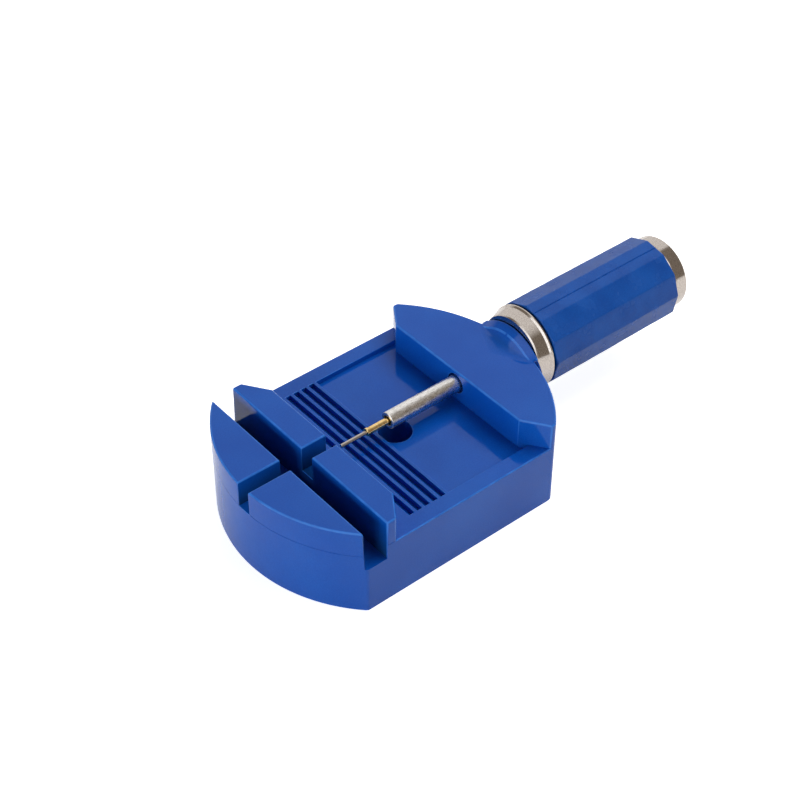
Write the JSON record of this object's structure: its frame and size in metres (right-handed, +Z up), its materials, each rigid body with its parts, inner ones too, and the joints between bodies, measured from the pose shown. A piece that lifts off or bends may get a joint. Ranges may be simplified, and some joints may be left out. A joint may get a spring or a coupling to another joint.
{
  "type": "watch link remover",
  "caption": "Moulded bracelet holder with slotted jaws, a ribbed floor and a wall, and a screw handle that drives a thin push pin.",
  "frame": {"origin": "under the middle of the tool's length, width and height, on the plane that the block stands on", "axes": "+X along the screw from the jaws to the handle, +Z up, +Y across the block"},
  "size_m": [0.1094, 0.048, 0.0266],
  "materials": {
    "block_plastic": "satin blue moulded plastic",
    "guide_steel": "plain turned steel, threaded outside",
    "holder_brass": "turned brass",
    "pin_steel": "hardened steel wire",
    "spindle_steel": "nickel plated, ground smooth",
    "barrel_aluminium": "nickel plated, polished",
    "grip_plastic": "satin blue soft plastic",
    "cap_aluminium": "nickel plated, polished"
  },
  "bodies": {
    "base": {"block": "block_plastic", "guide_tube": "guide_steel"},
    "pusher": {"pin_holder": "holder_brass", "push_pin": "pin_steel"},
    "handle": {"spindle": "spindle_steel", "handle_barrel": "barrel_aluminium", "grip_sleeve": "grip_plastic", "end_cap": "cap_aluminium"}
  },
  "joints": [
    {"name": "screw_feed", "type": "slide", "parent": "base", "child": "pusher", "axis": [1, 0, 0], "range_m": [0, 0.022]},
    {"name": "knob_turn", "type": "hinge", "parent": "pusher", "child": "handle", "pos_m": [0.025, 0, 0.0172], "axis": [1, 0, 0], "range_deg": [0, 7920]}
  ],
  "couplings": [
    {"joint": "knob_turn", "follows": "screw_feed", "rad_per_m": 6283.2}
  ]
}
